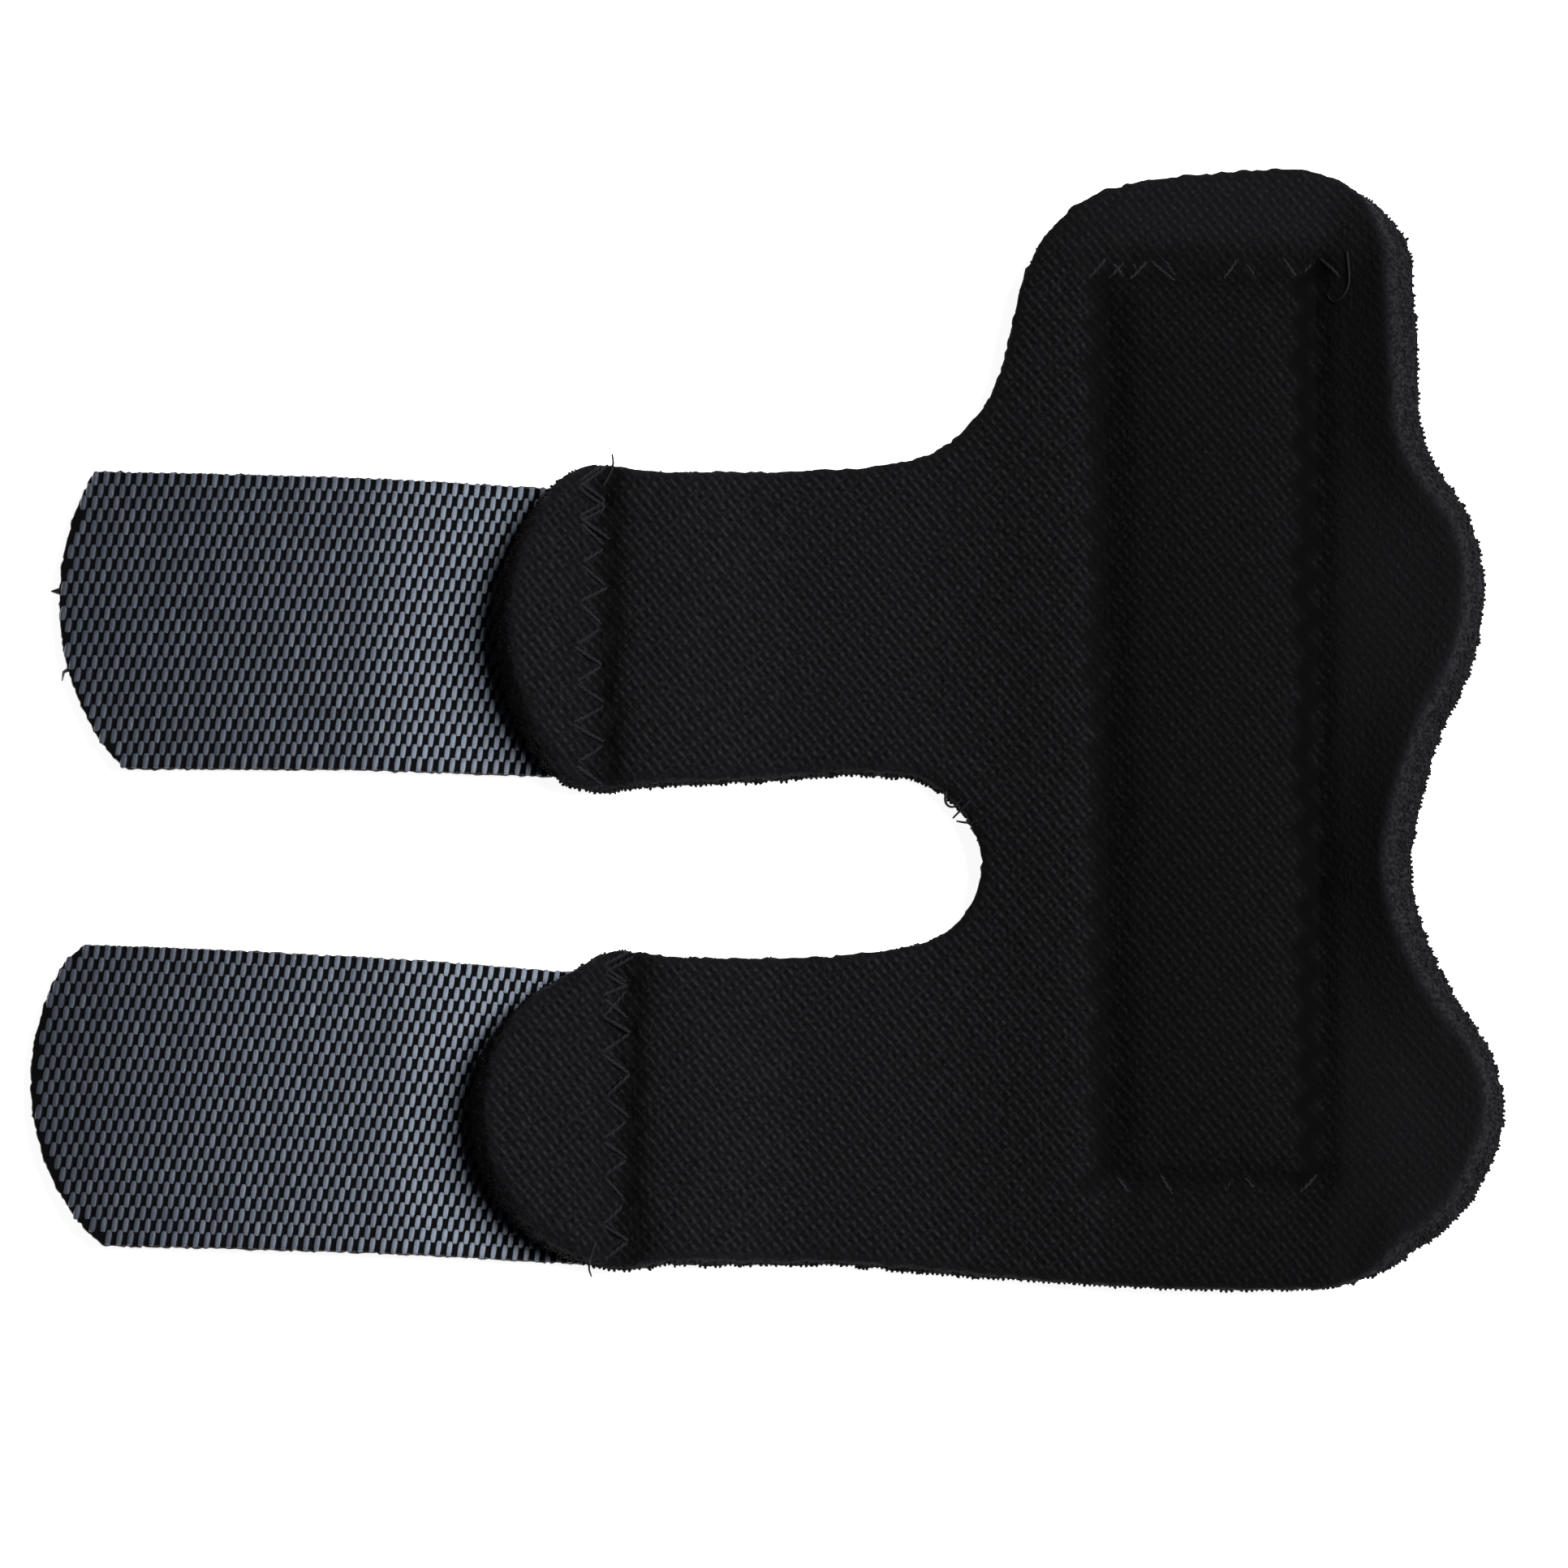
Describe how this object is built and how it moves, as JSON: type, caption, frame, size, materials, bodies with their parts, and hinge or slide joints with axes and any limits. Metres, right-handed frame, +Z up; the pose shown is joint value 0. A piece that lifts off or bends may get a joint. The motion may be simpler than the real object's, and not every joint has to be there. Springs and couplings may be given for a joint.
{
  "type": "finger splint",
  "caption": "Soft finger splint laid open: cushioned black cloth panel with a stitched stay pocket, a lobed curled flange, and arms that end in sewn hook-tape straps for wrapping a finger.",
  "frame": {"origin": "on the table that the splint lies on, under the middle of its outline", "axes": "+X from the strap tips towards the flange, +Y towards the head end of the panel, +Z up out of the face that the picture shows"},
  "size_m": [0.0993, 0.0773, 0.0084],
  "materials": {
    "cushioned_cloth": "matt black knit face over thin foam",
    "pocket_cloth": "matt black brushed strip",
    "strap_tape": "satin dark grey woven tape with hooks underneath",
    "thread": "black sewing thread with a slight sheen"
  },
  "bodies": {
    "root": {"body_sheet": "cushioned_cloth", "stay_pocket": "pocket_cloth", "upper_strap": "strap_tape", "lower_strap": "strap_tape"}
  },
  "joints": []
}
